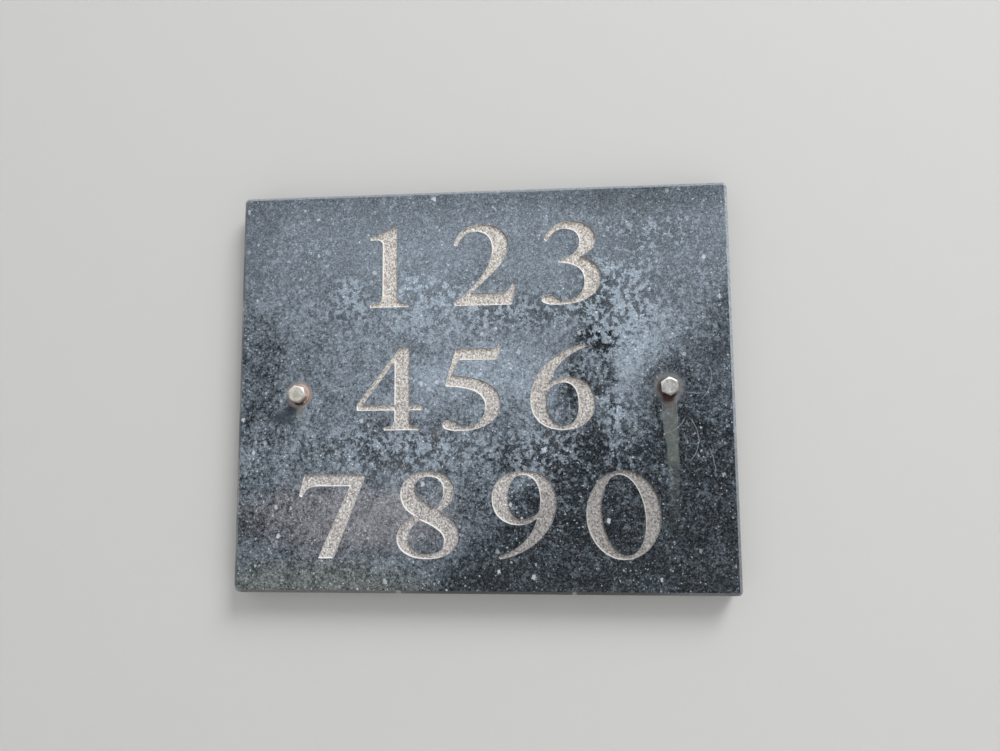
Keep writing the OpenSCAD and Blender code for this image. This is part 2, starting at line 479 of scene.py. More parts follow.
def head_rows(turn, start_deg):
    """Heights and radii of the head, from the middle of its top down to its seat.

    The top is dished, its corners are turned off by a cone, and the seat is round.
    """
    chamfer_slope = math.tan(math.radians(30))
    sides = soft_least(hexagon_radius(turn, start_deg), HEAD_CORNER_R, 0.05)
    dished = 0.1
    dish_r = 3.4
    rows = [(HEAD_H - dished, radius) for radius in (0.4, 1.4, 2.4, dish_r)]
    rows += [(HEAD_H - dished * (1 - share), dish_r + 1.2 * share) for share in (0.35, 0.7, 1)]
    rows += [(HEAD_H, HEAD_TOP_R - 0.3), (HEAD_H - 0.03, HEAD_TOP_R - 0.08)]
    for height in np.linspace(HEAD_H - 0.08, HEAD_H - 1.3, 10):
        cone = HEAD_TOP_R + (HEAD_H - height) / chamfer_slope
        rows.append((height, soft_least(sides, cone, 0.06)))
    rows += [(height, sides) for height in (3.2, 2, SEAT_H + 0.15)]
    rows += [(SEAT_H + 0.03, sides - 0.1), (SEAT_H, sides - 0.35)]
    return rows + [(SEAT_H, SEAT_R), (0, SEAT_R)]


def thread_rows(turn):
    """Heights and radii of the shank and its thread, from under the head to the tip.

    The thread has narrow flats at its crest and its root, and starts over one and a half turns.
    """
    rows = [(-0.01, SHANK_R), (THREAD_L - BOLT_L + 0.6, SHANK_R)]
    rows_a_turn = 10
    count = int(THREAD_L / THREAD_PITCH * rows_a_turn)
    for height in np.linspace(THREAD_L - BOLT_L, -BOLT_L, count):
        phase = np.mod(height / THREAD_PITCH - turn / (2 * math.pi), 1)
        crest = np.clip(1.25 - 3.2 * np.abs(phase - 0.5), 0, 1)
        run_in = np.clip((THREAD_L - BOLT_L - height) / (1.5 * THREAD_PITCH), 0, 1)
        root = SHANK_R - (SHANK_R - THREAD_ROOT_R) * run_in
        radius = root + (SHANK_R - root) * crest
        tip_limit = THREAD_ROOT_R - 0.6 + (height + BOLT_L)
        rows.append((height, np.minimum(radius, tip_limit)))
    return rows


def build_bolt(side, material):
    """The bolt: a hexagon head with turned-off corners, a plain shank, and a real thread at its end."""
    hole = HOLES[side]
    turn = full_turn() + math.radians(90 + HEAD_TURN[side])
    bolt = Surface()
    seat = STONE_T + WASHER_T
    loops = [
        bolt.add_points(ring(hole, radius, turn), -(seat + height))
        for height, radius in head_rows(turn, 90 + HEAD_TURN[side]) + thread_rows(turn)
    ]
    for front, back in zip(loops, loops[1:]):
        bolt.add_strip(front, back)
    bolt.add_faces([loops[0]])
    bolt.add_faces([loops[-1][::-1]], smooth=False)
    return bolt.make(f"{side}_hexagon_bolt", [material])


def build_washer(side, material):
    """The washer, with rounded edges and a skin pitted by rust."""
    hole = HOLES[side]
    turn = full_turn(96)
    washer = Surface()
    # Radius and height of each loop, from the hole's back edge over the front to the rim's back edge
    profile = [
        (WASHER_HOLE_R, 0), (WASHER_HOLE_R, WASHER_T - 0.25), (WASHER_HOLE_R + 0.15, WASHER_T - 0.03),
        (5, WASHER_T), (6, WASHER_T), (6.5, WASHER_T), (7, WASHER_T), (7.4, WASHER_T - 0.03),
        (7.7, WASHER_T - 0.15), (7.9, WASHER_T - 0.4), (WASHER_R, WASHER_T - 0.8), (WASHER_R, 0.3),
        (WASHER_R - 0.1, 0),
    ]
    loops = []
    for number, (radius, height) in enumerate(profile):
        spots = ring(hole, radius, turn)
        pits = np.array([max(0, noise.noise(Vector((x, height, z)) * PITS_PER_MM)) for x, z in spots])
        pitted = PIT_DEPTH * pits if 2 < number < len(profile) - 1 else 0 * pits
        inward = 0.5 * pitted if radius > WASHER_R - 1 else 0 * pits
        loops.append(washer.add_points(ring(hole, radius - inward, turn), -(STONE_T + height - pitted)))
    for inner, outer in zip(loops, loops[1:]):
        washer.add_strip(inner, outer)
    washer.add_strip(loops[-1], loops[0])
    return washer.make(f"{side}_rusty_washer", [material])


def srgb(*levels):
    """A colour as it looks on screen, from 0 to 255, as the linear colour that shaders take."""
    shares = [level / 255 for level in levels]
    linear = [share / 12.92 if share <= 0.04045 else ((share + 0.055) / 1.055) ** 2.4 for share in shares]
    return (*linear, 1)


class Value:
    """The output of a node. Sums and products with it add nodes, for numbers, places and colours alike."""

    def __init__(self, kit, socket):
        self.kit = kit
        self.socket = socket

    def other(self, output):
        """Another output of the same node, by its name or number."""
        return Value(self.kit, self.socket.node.outputs[output])

    def joined(self, operation, *values):
        kind = "Math" if self.socket.type == "VALUE" else "VectorMath"
        return self.kit.add(kind, *values, operation=operation)

    def __add__(self, second):
        return self.joined("ADD", self, second)

    def __sub__(self, second):
        return self.joined("SUBTRACT", self, second)

    def __rsub__(self, first):
        return self.joined("SUBTRACT", first, self)

    def __mul__(self, second):
        return self.joined("MULTIPLY", self, second)

    def __truediv__(self, second):
        return self.joined("DIVIDE", self, second)

    def __pow__(self, second):
        return self.joined("POWER", self, second)

    def __abs__(self):
        return self.joined("ABSOLUTE", self)

    __radd__ = __add__
    __rmul__ = __mul__


class Finish:
    """Builds the nodes of one material. Most methods add a step and return its output."""

    def __init__(self, name):
        self.material = bpy.data.materials.new(name)
        self.material.use_nodes = True
        self.tree = self.material.node_tree
        self.shader = self.tree.nodes["Principled BSDF"]
        place = self.add("TexCoord", output="Object")
        self.normal = place.other("Normal")
        self.mm = place * (1 / MM)
        self.x, _, self.z = self.parts(self.mm)
        self.colour = None

    def plug(self, socket, value):
        """Links or sets an input. A colour of three numbers is one on screen."""
        if isinstance(value, Value):
            self.tree.links.new(value.socket, socket)
        elif socket.type == "VECTOR" and isinstance(value, (int, float)):
            socket.default_value = (value,) * 3
        elif socket.type == "RGBA" and len(value) == 3:
            socket.default_value = srgb(*value)
        else:
            socket.default_value = value

    def add(self, kind, *values, output=0, **named):
        """Adds a node and returns an output of it. The values go to its first inputs.

        A name with a capital is an input as well, and any other name is a setting.
        """
        node = self.tree.nodes.new(f"ShaderNode{kind}")
        for name, value in named.items():
            if name[0].isupper():
                self.plug(node.inputs[name], value)
            else:
                setattr(node, name, value)
        for socket, value in zip(node.inputs, values):
            self.plug(socket, value)
        return Value(self, node.outputs[output])

    def larger(self, first, second):
        return self.add("Math", first, second, operation="MAXIMUM")

    def length(self, vector):
        return self.add("VectorMath", vector, operation="LENGTH", output="Value")

    def parts(self, value, kind="XYZ"):
        """The three parts of a place, or of a colour."""
        first = self.add(f"Separate{kind}", value)
        return [first.other(number) for number in range(3)]

    def step(self, value, low, high, from_level=0, to_level=1):
        """A smooth change from one level to another while the value goes from low to high."""
        return self.add("MapRange", value, low, high, from_level, to_level, interpolation_type="SMOOTHSTEP")

    def noise(self, size, detail=2, roughness=0.5, shift=0, where=None):
        """Smooth noise about 0.5 whose main features are that many millimetres across."""
        place = (where or self.mm) + (shift, 0.7 * shift, -0.6 * shift)
        inputs = {"Vector": place, "Scale": 1 / size, "Detail": detail, "Roughness": roughness}
        return self.add("TexNoise", output="Fac", **inputs)

    def grains(self, size, shift=0, where=None):
        """Cells of that many millimetres: the distance from each one's middle, and three random levels."""
        place = (where or self.mm) + (shift, 0, shift)
        near = self.add("TexVoronoi", output="Distance", Vector=place, Scale=1 / size)
        return near, self.parts(near.other("Color"), "Color")

    def wandered(self, size, reach, detail=3):
        """The coordinates moved about by noise, so that the edges of zones wander."""
        colour = self.add("TexNoise", output="Color", Vector=self.mm, Scale=1 / size, Detail=detail)
        return self.mm + (colour - 0.5) * (reach, 0, reach)

    def spot(self, x, z, half_w, half_h, where, core=0):
        """1 at a place on the face, fading to 0 at the edge of an oval round it."""
        share = self.length((where - (x, 0, z)) * (1 / half_w, 0, 1 / half_h))
        return self.step(share, core, 1, 1, 0)

    def shade(self, level, tint):
        """A colour of a brightness on screen, from 0 to 255, in a tint whose parts are near 1."""
        light = (self.larger(level, 0) / 255) ** 2.2
        return tint * self.larger(light - GLOSS, 0.004)

    def mix(self, share, first, second):
        return self.add("Mix", output="Result", data_type="RGBA", Factor=share, A=first, B=second)

    def coat(self, share, colour):
        """Lays a colour over the one that the material has so far, as much as the share says."""
        self.colour = self.mix(share, self.colour, colour)

    def finish(self, roughness, relief, depth, **inputs):
        """Plugs the shader's inputs, by name with _ for spaces, and returns the material.

        The relief is from 0 to 1 and stands for a depth in millimetres.
        """
        normal = self.add("Bump", output="Normal", Strength=1, Distance=depth * MM, Height=relief)
        inputs.update(Base_Color=self.colour, Roughness=roughness, Normal=normal)
        for name, value in inputs.items():
            self.plug(self.shader.inputs[name.replace("_", " ")], value)
        return self.material


# Patches of the face: x, z, half width, half height, and how much each one changes the brightness of
# the ground, the brightness of the film over it, the film's share, and how crisp its flakes are
FACE_PATCHES = (
    (-172, 14, 34, 62, -46, -30),
    (-180, 120, 40, 66, -14, -18),
    (120, 138, 80, 22, -14, -20),
    (-60, 88, 70, 46, 10, -2),
    (24, 104, 90, 34, 4, 6),
    (0, 10, 80, 30, 26, 18, 0.04),
    (-30, 54, 80, 30, 15, 15, 0.04, 0.4),
    (-40, 80, 40, 28, -2, 10, 0.02, 0.3),
    (-50, 78, 34, 11, 14, 14, 0.03, 0.3),
    (64, 111, 34, 16, -10, -12),
    (128, 112, 50, 22, -12, 14, 0.02, 0.1),
    (-98, 66, 24, 26, -2, 12, 0.02, 0.5),
    (38, 56, 60, 20, -6, 2, -0.02, 0.5),
    (100, 60, 50, 60, 2, 16, 0.06, 0.55),
    (110, 24, 20, 28, 14, 10, 0.12),
    (148, 34, 24, 28, 14, 12),
    (-134, 24, 26, 44, -12, -8),
    (-162, -28, 28, 18, -14, -14),
    (-174, -84, 24, 32, -14, -16),
    (76, -36, 22, 24, -18, -14),
    (-6, -84, 22, 24, -16, -16),
    (86, 33, 24, 14, -50, -30, -0.07, 0.5),
    (71, 2, 18, 30, -46, -18, -0.1, 0.5),
    (90, 2, 11, 34, -36, -14, -0.08, 0.4),
    (84, 68, 18, 34, -18, -14, -0.06, 0.2),
    (98, -18, 12, 16, -20, -4, 0, 0.5),
    (105, -24, 28, 42, 34, 30, 0.1, 0.2),
    (-28, -44, 24, 15, 14, 14),
    (18, -54, 30, 13, -16, -18, 0, 0.3),
    (172, 10, 30, 70, 20, 12),
    (56, -44, 50, 22, -14, 2, 0, 0.3),
    (66, -80, 70, 70, 0, 4, 0, 0.3),
    (-60, -46, 96, 26, -4, 8, 0.02, 0.4),
    (-76, -90, 84, 48, 26, 14),
    (-92, -128, 56, 13, 8, 14, 0, 0.3),
)
DARKEST_GROUND = 48

# What the gloss of the face adds to the light that comes from it, so its colours are that much darker
GLOSS = 0.0075

# Scratches: the middle and radius of the circle that each follows, and the middle and reach of its stretch
HAIRLINES = (
    (156.5, 29.5, 36.2, 154, -6, 7.5),
    (143, 6, 23, 164, -1, 14),
    (133, -39, 22.5, 154, -40, 19),
    (128, -15, 20.7, 140, -31, 11),
    (109, -66, 57.8, 166, -54, 10),
)

# Tints of the face, as shares of a grey of the same brightness
COOL = (0.85, 1.01, 1.18, 1)
MAUVE = (0.985, 0.967, 1.045, 1)
GREENISH = (0.95, 1.04, 0.99, 1)
LILAC = (0.94, 0.97, 1.09, 1)
TEAL = (0.82, 1.06, 1.12, 1)
BROWN = (1.12, 0.97, 0.88, 1)
REDDISH = (1.13, 0.95, 0.98, 1)
DEEP = (0.7, 1.02, 1.28, 1)


def face_fields(kit, where):
    """Ground brightness, film brightness, the film's share and its crispness, all over the face."""
    x, _, z = kit.parts(where)
    low_right = x - z
    near, far = 92, 136
    # The face is brighter towards the top and darker towards the bottom and the lower right: partly the
    # film, partly a painted reflection of the sky in the polished stone
    top = kit.step(z, 40, 110)
    top_edge = kit.step(z, 122, 148, 0, -15)
    lower = kit.step(z, -60, 10, -24, 0)
    ground = 96 + lower + kit.step(low_right, near, far, 0, -39) + top * 27 + top_edge
    lowest = kit.step(z, -130, -40, -26, 0)
    film = 149 + lowest + kit.step(low_right, near, far, 0, -36) + top * 2 + top_edge
    share = kit.step(low_right, near, far, 0.5, 0.38) + top * -0.16
    crispness = kit.step(low_right, near, far, 0.34, 0.5) + top * 0.35
    fields = [ground, film, share, crispness]
    for px, pz, half_w, half_h, *changes in FACE_PATCHES:
        spot = kit.spot(px, pz, half_w, half_h, where, 0.25)
        for number, change in enumerate(changes):
            if change:
                fields[number] += spot * change
    fields[0] = kit.larger(fields[0], DARKEST_GROUND)
    return fields


def film_share(kit, share, crispness, zones, fine_place, drift):
    """How much film each place has: a mottle where it is thin, crisp flakes where it peels."""
    bias = (share - 0.5 + drift * 0.55) * 0.45
    mottle = kit.noise(2.3, detail=6, roughness=0.8, where=fine_place) + bias
    soft = kit.step(mottle, 0.4, 0.6)
    lace = kit.noise(4, detail=6, roughness=0.68, shift=7, where=fine_place) + bias
    flakes = kit.step(lace, 0.475, 0.525)
    film = soft + crispness * (flakes - soft)
    left_calm = kit.spot(-28, 100, 34, 26, zones, 0.5)
    right_calm = kit.spot(44, 88, 34, 30, zones, 0.5)
    calm = kit.larger(left_calm, right_calm)
    return film + calm * 0.4 * (0.5 - film)


def bare_pits(kit, zones):
    """Dark pits in upright chains, in a band between the second and the third row."""
    left = kit.spot(-64, -44, 64, 26, zones, 0.5)
    right = kit.spot(40, -44, 22, 24, zones, 0.3)
    upright = kit.wandered(3, 4, detail=2) * (1, 1, 0.5)
    holes = kit.noise(4.4, detail=6, roughness=0.72, shift=57, where=upright)
    return kit.step(holes, 0.42, 0.46, 1, 0) * kit.larger(left, right)


def face_tint(kit, zones, pits, level):
    """Cool at the top, mauve and greenish towards the bottom, and reddish in bare places."""
    tint = kit.mix(kit.spot(-100, -95, 120, 36, zones, 0.4) * 0.85, COOL, MAUVE)
    tint = kit.mix(kit.spot(-120, -148, 110, 31, zones, 0.4) * 0.95, tint, GREENISH)
    hue = kit.noise(3, detail=4, roughness=0.7, shift=77)
    tint = kit.mix(kit.step(hue, 0.54, 0.7, 0, 0.6), tint, LILAC)
    tint = kit.mix(kit.step(hue, 0.32, 0.46, 0.5, 0), tint, TEAL)
    tint = kit.mix(pits * 0.6, tint, BROWN)
    patchy = kit.step(kit.noise(13, detail=3, shift=43), 0.52, 0.62)
    tint = kit.mix(kit.step(level, 45, 100, 0.85, 0), tint, DEEP)
    return kit.mix(patchy * kit.step(level, 45, 95, 0.22, 0), tint, REDDISH)


def face_grains(kit, level, ground, fine_place):
    """A fine grain of separate crystals, and sparse bright flecks where the ground is dark."""
    fine = kit.noise(0.8, detail=3, roughness=0.8, shift=13)
    level += (fine - 0.5) * 220
    _, (own_level, _, _) = kit.grains(1.15, shift=9, where=fine_place)
    dark = kit.step(ground, 55, 100, 1, 0)
    spread = 28 + dark * 24
    level += (own_level - 0.5) * spread
    near, (chance, _, _) = kit.grains(1.7, shift=3, where=fine_place)
    fleck = kit.step(chance, 0.78, 1) * kit.step(near, 0.2, 0.45, 1, 0)
    return level + fleck * (64 + dark * 40)


def crystals(kit):
    """Whitish crystals of one to three millimetres, and smaller sparks between them."""
    bent = kit.wandered(1.5, 3.6) * (1, 1, 0.72)
    near, (chance, size, paleness) = kit.grains(9, shift=5, where=bent)
    beyond = near - kit.step(size, 0, 1, 0.05, 0.16)
    shown = kit.step(chance, 0.62, 0.66) * kit.step(paleness, 0, 1, 0.35, 0.9)
    kit.coat(kit.step(beyond, -0.02, 0.02, 1, 0) * shown, (204, 206, 216))
    near, (chance, _, _) = kit.grains(4.2, shift=15, where=bent)
    more = kit.spot(-164, 16, 26, 66, kit.mm, 0.4) * 0.13
    shown = kit.step(chance + more, 0.86, 0.9) * 0.75
    kit.coat(kit.step(near, 0.09, 0.17, 1, 0) * shown, (212, 206, 200))


def hairlines(kit):
    """Pale curling scratches on the right of the face."""
    where = kit.wandered(6, 2.4, detail=2)
    for x, z, radius, mid_x, mid_z, reach in HAIRLINES:
        away = kit.length((where - (x, 0, z)) * (1, 0, 1))
        line = kit.step(abs(away - radius), 0.12, 0.45, 1, 0)
        shown = line * kit.spot(mid_x, mid_z, reach, reach, where, 0.7) * 0.6
        kit.coat(shown, (152, 162, 164))


def stains(kit, where):
    """Stains round and under the two fixings, a dark blue-grey patch below and left of the left one, and a
    painted shadow of the head over the rust under the right one.
    """
    x, z = HOLES["left"]
    # A dark blue-grey patch below and to the left of the left fixing
    upper = kit.spot(x - 6, z - 12, 7.5, 5.5, where, 0.55)
    lower = kit.spot(x - 12, z - 17, 9.5, 6.5, where, 0.55)
    kit.coat(kit.larger(upper, lower) * 0.85, (50, 59, 68))
    run = kit.spot(x + 0.8, z - 13, 4.4, 7, where, 0.4)
    kit.coat(run * 0.65, (122, 123, 116))
    patchy = kit.step(kit.noise(2.2, detail=4, roughness=0.7, shift=71), 0.34, 0.58, 0.55, 0.95)
    halo = kit.spot(x, z, 11.4, 11.4, where, 0.74)
    kit.coat(halo * patchy, (152, 145, 139))
    x, z = HOLES["right"]
    outer = kit.spot(x, z, 14, 14, where, 0.62)
    kit.coat(outer * patchy * 0.9, (116, 122, 126))
    halo = kit.spot(x, z, 10.8, 10.8, where, 0.72)
    kit.coat(halo * patchy, (127, 126, 125))
    # Rust under the right fixing, darkened into a painted shadow of its head
    rust = kit.spot(x - 0.6, z - 7.6, 6.4, 5.2, where, 0.45)
    kit.coat(rust * 0.92, (62, 38, 29))


def streak(kit, where):
    """The run of lime under the right fixing: broad and smooth at the top, faint lower down."""
    hole_x, hole_z = HOLES["right"]
    x, _, z = kit.parts(where)
    drop = hole_z - z
    below = kit.step(drop, 2, 6)
    left_side = hole_x + kit.step(drop, 16, 50, -4.9, -2.5)
    width = kit.step(drop, 16, 50, 10.2, 8.6)
    along = (x - left_side) / width
    aside = abs(along - 0.5) * 2
    sides = kit.step(aside, 0.76, 1.06, 1, 0)
    upper = kit.step(drop, 50, 64, 0.66, 0)
    lower = kit.step(drop, 60, 112, 0.22, 0)
    share = sides * below * kit.larger(upper, lower)
    lime = kit.mix(kit.step(drop, 24, 46), (112, 116, 112), (108, 114, 108))
    kit.coat(share, lime)
    rusty = sides * below * kit.step(drop, 9, 20, 0.5, 0)
    kit.coat(rusty, (104, 84, 70))
    rim = kit.step(abs(aside - 1), 0, 0.13, 1, 0) * 0.4
    kit.coat(rim * below * kit.step(drop, 24, 46, 1, 0), (150, 160, 156))


def face_colour(kit):
    """Gives the face its colour, and returns how much film and how many pits each place has."""
    zones = kit.wandered(16, 18, detail=6)
    fine_place = kit.wandered(2.4, 1.6, detail=2)
    ground, film_level, share, crispness = face_fields(kit, zones)
    drift = kit.noise(19, detail=4, roughness=0.6, shift=31) - 0.5
    film = film_share(kit, share, crispness, zones, fine_place, drift)
    level = ground + film * (film_level - ground) + drift * 16
    level = face_grains(kit, level, ground, fine_place)
    pits = bare_pits(kit, zones)
    level += pits * 0.8 * (60 - level)
    kit.colour = kit.shade(level, face_tint(kit, zones, pits, level))
    crystals(kit)
    hairlines(kit)
    edge_place = kit.wandered(3, 1.6)
    streak(kit, edge_place)
    stains(kit, edge_place)
    return film, pits


def polished_stone():
    """The face: dark granite under a film of weather that is flaking off, with crystals, stains, a painted
    shadow under the right fixing, and a painted reflection of the sky that is brightest at the top.
    """
    kit = Finish("polished_stone")
    film, pits = face_colour(kit)
    roughness = 0.2 + film * 0.3 + pits * 0.2
    return kit.finish(roughness, film * 0.7 - pits * 0.5, 0.04, Specular_IOR_Level=0.3)


def bevel_stone():
    """The bevel and the worn arris: honed stone with painted light, paler towards the top and on the right,
    with painted shade in patches on the left and darkest below.
    """
    kit = Finish("bevel_stone")
    grain = kit.noise(1.6, detail=3, roughness=0.65, shift=23)
    x, z = kit.x, kit.z
    # Painted light: paler towards the top, darker and browner towards the bottom
    kit.colour = kit.mix(kit.step(z, -146, 144.5), (104, 98, 90), (148, 156, 162))
    # The bottom bevel faces down: painted shade, darkest in the middle
    below = kit.mix(kit.step(x, -64, -34), (112, 110, 104), (64, 64, 63))
    below = kit.mix(kit.step(x, 112, 150), below, (112, 115, 119))
    kit.coat(kit.step(z, -146.5, -144, 1, 0), below)
    # The right bevel: a painted highlight, paler towards the top
    right = kit.mix(kit.step(z, -120, 60), (128, 132, 138), (172, 181, 189))
    kit.coat(kit.step(x, 178.5, 180.5), right)
    # The left bevel faces away from the light: painted shade, broken by paler patches
    patchy = kit.step(kit.noise(34, detail=3, shift=35), 0.4, 0.54)
    left = kit.mix(patchy, (84, 90, 95), (150, 150, 147))
    kit.coat(kit.step(x, -180.5, -178.5, 1, 0), left)
    grime = kit.step(grain, 0.4, 0.62, 1, 0) * 0.55
    kit.coat(grime, (70, 74, 76))
    for x, z, radius, _ in CHIPS:
        fresh = kit.spot(x, z, radius, radius, kit.mm, 0.5)
        kit.coat(fresh * 0.7, (160, 165, 166))
    return kit.finish(0.36, grain, 0.1)


def blasted_stone():
    """The numerals: bare stone bruised pale by grit, with glints and brown pits, a painted highlight on the
    sides that face up and right, and painted shade on those that face down and left.

    They are darker towards the lower right.
    """
    kit = Finish("blasted_stone")
    grain = kit.noise(1.5, detail=3, roughness=0.75, shift=9)
    x, z = kit.x, kit.z
    lower = kit.step(z, -60, 60, 1, 0)
    pale = kit.mix(lower, (226, 221, 214), (216, 212, 209))
    dark = kit.mix(lower, (158, 150, 142), (146, 140, 137))
    kit.colour = kit.mix(kit.step(grain, 0.4, 0.58), dark, pale)
    glint = kit.step(kit.noise(1.4, detail=1, shift=57), 0.6, 0.68)
    kit.coat(glint * 0.9, (248, 247, 244))
    pits = kit.step(kit.noise(1.6, detail=1, shift=83), 0.34, 0.41, 1, 0)
    kit.coat(pits * 0.6, (112, 100, 90))
    # A painted highlight on the cut's sides that face up and right, and painted shade on those that face
    # down and left
    across, _, up = kit.parts(kit.normal)
    lit = across + up
    kit.coat(kit.step(lit, 0.45, 0.85, 0, 0.9), (240, 236, 230))
    kit.coat(kit.step(lit, -0.95, -0.55, 0.75, 0), (104, 92, 80))
    # Darker towards the lower right
    low_right = x - z
    lower_right_dimming = kit.step(low_right, -20, 50, 1, 0.88) * kit.step(low_right, 92, 142, 1, 0.69)
    kit.colour *= lower_right_dimming
    return kit.finish(0.85, grain, 0.3)


def sawn_stone():
    """The sides and back: sawn and left matt, with faint saw lines."""
    kit = Finish("sawn_stone")
    grain = kit.noise(1.8, detail=4, roughness=0.65, shift=19)
    sweep = kit.mm * (0.35, 6, 6)
    lines = kit.noise(9, detail=3, roughness=0.6, where=sweep)
    cloud = kit.noise(45, detail=4, roughness=0.55, shift=7)
    kit.colour = kit.mix(kit.step(grain, 0.38, 0.62), (70, 76, 80), (112, 119, 123))
    kit.coat(kit.step(lines, 0.5, 0.62) * 0.35, (132, 138, 140))
    kit.coat(kit.step(cloud, 0.42, 0.62) * 0.45, (96, 94, 88))
    return kit.finish(0.72, lines * 0.7 + grain * 0.5, 0.15)


def facing(kit, left_deg, right_deg):
    """How much a surface faces a direction, counter-clockwise from x, of its own for each head."""
    across, _, up = kit.parts(kit.normal)
    left, right = math.radians(left_deg), math.radians(right_deg)
    share_x = across * kit.step(kit.x, -1, 1, math.cos(left), math.cos(right))
    share_z = up * kit.step(kit.x, -1, 1, math.sin(left), math.sin(right))
    return share_x + share_z


def zinc_head():
    """Dull zinc plate: an olive stain on the left head, a painted highlight on the upper facets, painted
    shade on the lower ones, and rust with painted shade on the lower sides.
    """
    kit = Finish("weathered_zinc")
    bloom = kit.noise(2.6, detail=4, roughness=0.6, shift=17)
    on_right = kit.step(kit.x, -1, 1)
    dull = kit.mix(on_right, (194, 190, 182), (161, 160, 156))
    pale = kit.mix(on_right, (216, 213, 206), (187, 187, 184))
    kit.colour = kit.mix(kit.step(bloom, 0.38, 0.64), dull, pale)
    x, z = HOLES["left"]
    stain = kit.spot(x - 0.8, z - 0.4, 4.2, 4, kit.wandered(1.6, 2), 0.3)
    kit.coat(stain * 0.8, (184, 178, 154))
    tan = kit.spot(x - 2.4, z + 3, 1.9, 1.5, kit.mm, 0.4)
    kit.coat(tan, (232, 214, 190))
    glint = kit.step(kit.noise(1.6, shift=29), 0.55, 0.61)
    kit.coat(glint * 0.6, (226, 229, 228))
    # A painted highlight on the facets that face up
    white = kit.step(facing(kit, 84, 112), 0.05, 0.2)
    kit.coat(white * 0.95, (232, 231, 228))
    # Painted shade on the facets that face down
    dim = kit.step(facing(kit, 280, 300), 0.05, 0.4)
    kit.coat(dim * 0.7, (140, 134, 127))
    # Rust on the sides that face down, with painted shade: dark where they face left, pale where they face
    # right
    across, ahead, up = kit.parts(kit.normal)
    sideways = kit.step(ahead, -0.75, -0.35)
    worn = kit.step(kit.noise(1.2, detail=3, shift=61), 0.3, 0.46, 0.8, 1)
    rust = sideways * kit.step(up, -0.1, 0.5, 1, 0) * worn
    brown = kit.mix(kit.step(across, 0.4, 0.8), (66, 48, 41), (178, 153, 143))
    kit.coat(rust * 0.94, brown)
    metal = kit.step(rust, 0, 1, 0.5, 0)
    roughness = kit.step(bloom, 0.3, 0.7, 0.38, 0.55)
    return kit.finish(roughness, bloom, 0.06, Metallic=metal)


def rusty_steel():
    """The washers: pinkish rust on the left one with a painted highlight at its upper right, brown grey on
    the right one, and dark rust with a painted shadow under the heads.
    """
    kit = Finish("rusty_washer")
    patches = kit.noise(2.4, detail=4, roughness=0.65, shift=37)
    on_right = kit.step(kit.x, -1, 1)
    dull = kit.mix(on_right, (140, 112, 102), (94, 88, 86))
    pale = kit.mix(on_right, (176, 146, 136), (122, 116, 113))
    kit.colour = kit.mix(kit.step(patches, 0.36, 0.62), dull, pale)
    x, z = HOLES["left"]
    # A painted highlight on the upper right of the left washer
    rim = kit.spot(x + 4.5, z + 3.5, 7.5, 7.5, kit.mm, 0.5)
    kit.coat(rim * 0.6, (206, 176, 168))
    x, z = HOLES["right"]
    purple = kit.spot(x - 5.5, z, 5, 9, kit.mm, 0.6)
    kit.coat(purple * 0.8, (96, 78, 78))
    # Dark rust and a painted shadow under each head
    for side, aside, half_w in (("left", 0.6, 4.6), ("right", -0.6, 7.4)):
        x, z = HOLES[side]
        rust_and_shadow_under_head = kit.spot(x + aside, z - 7.2, half_w, 4, kit.wandered(2, 1.6), 0.5)
        kit.coat(rust_and_shadow_under_head * 0.95, (50, 27, 20))
    return kit.finish(0.8, patches, 0.15, Metallic=0)


def sleeve_zinc():
    """The sleeves: yellowish zinc plate, dusty, with faint rolling marks along them."""
    kit = Finish("sleeve_zinc")
    marks = kit.noise(3, detail=3, where=kit.mm * (3, 0.25, 3))
    dust = kit.noise(4, detail=4, roughness=0.6, shift=11)
    kit.colour = kit.mix(kit.step(marks, 0.4, 0.6), (186, 180, 152), (206, 202, 182))
    kit.coat(kit.step(dust, 0.5, 0.66) * 0.5, (168, 158, 140))
    roughness = kit.step(dust, 0.4, 0.65, 0.3, 0.6)
    return kit.finish(roughness, marks, 0.03, Metallic=0.85)


def ring_plastic():
    """The crush ring: dark moulded plastic, fine grained and scuffed."""
    kit = Finish("ring_plastic")
    grain = kit.noise(0.5)
    scuffs = kit.step(kit.noise(2.2, detail=4, roughness=0.7, shift=27), 0.55, 0.68)
    kit.colour = kit.mix(scuffs * 0.5, (44, 46, 50), (92, 94, 96))
    return kit.finish(0.55, grain, 0.04)


def nut_zinc():
    """The cone nut: bright zinc plate with turning marks."""
    kit = Finish("nut_zinc")
    rings = kit.noise(2, detail=3, where=kit.mm * (0.3, 5, 0.3))
    dust = kit.noise(3.5, detail=4, roughness=0.6, shift=33)
    kit.colour = kit.mix(kit.step(dust, 0.45, 0.65), (206, 206, 200), (172, 166, 150))
    roughness = kit.step(dust, 0.4, 0.65, 0.26, 0.5)
    return kit.finish(roughness, rings, 0.03, Metallic=0.9)


def place_camera():
    """The camera that took the photograph, found from the four corners of the stone."""
    place_m = Vector((0.0565, -0.5457, -0.0463))
    yaw_deg, pitch_deg, roll_deg = 4.569, 5.875, -0.422
    data = bpy.data.cameras.new("camera")
    data.lens = 26.1
    data.sensor_width = 36
    data.clip_start = 0.01
    camera = placed("camera", data)
    turn = Matrix.Rotation(math.radians(yaw_deg), 4, "Z")
    turn = turn @ Matrix.Rotation(math.radians(90 + pitch_deg), 4, "X")
    turn = turn @ Matrix.Rotation(math.radians(roll_deg), 4, "Z")
    camera.matrix_world = Matrix.Translation(place_m) @ turn
    bpy.context.scene.camera = camera


def add_sheet(corners_m, faces, material):
    """Part of the stage, named after its material."""
    mesh = bpy.data.meshes.new(material.name)
    mesh.from_pydata(corners_m, [], faces)
    mesh.materials.append(material)
    placed(material.name, mesh)


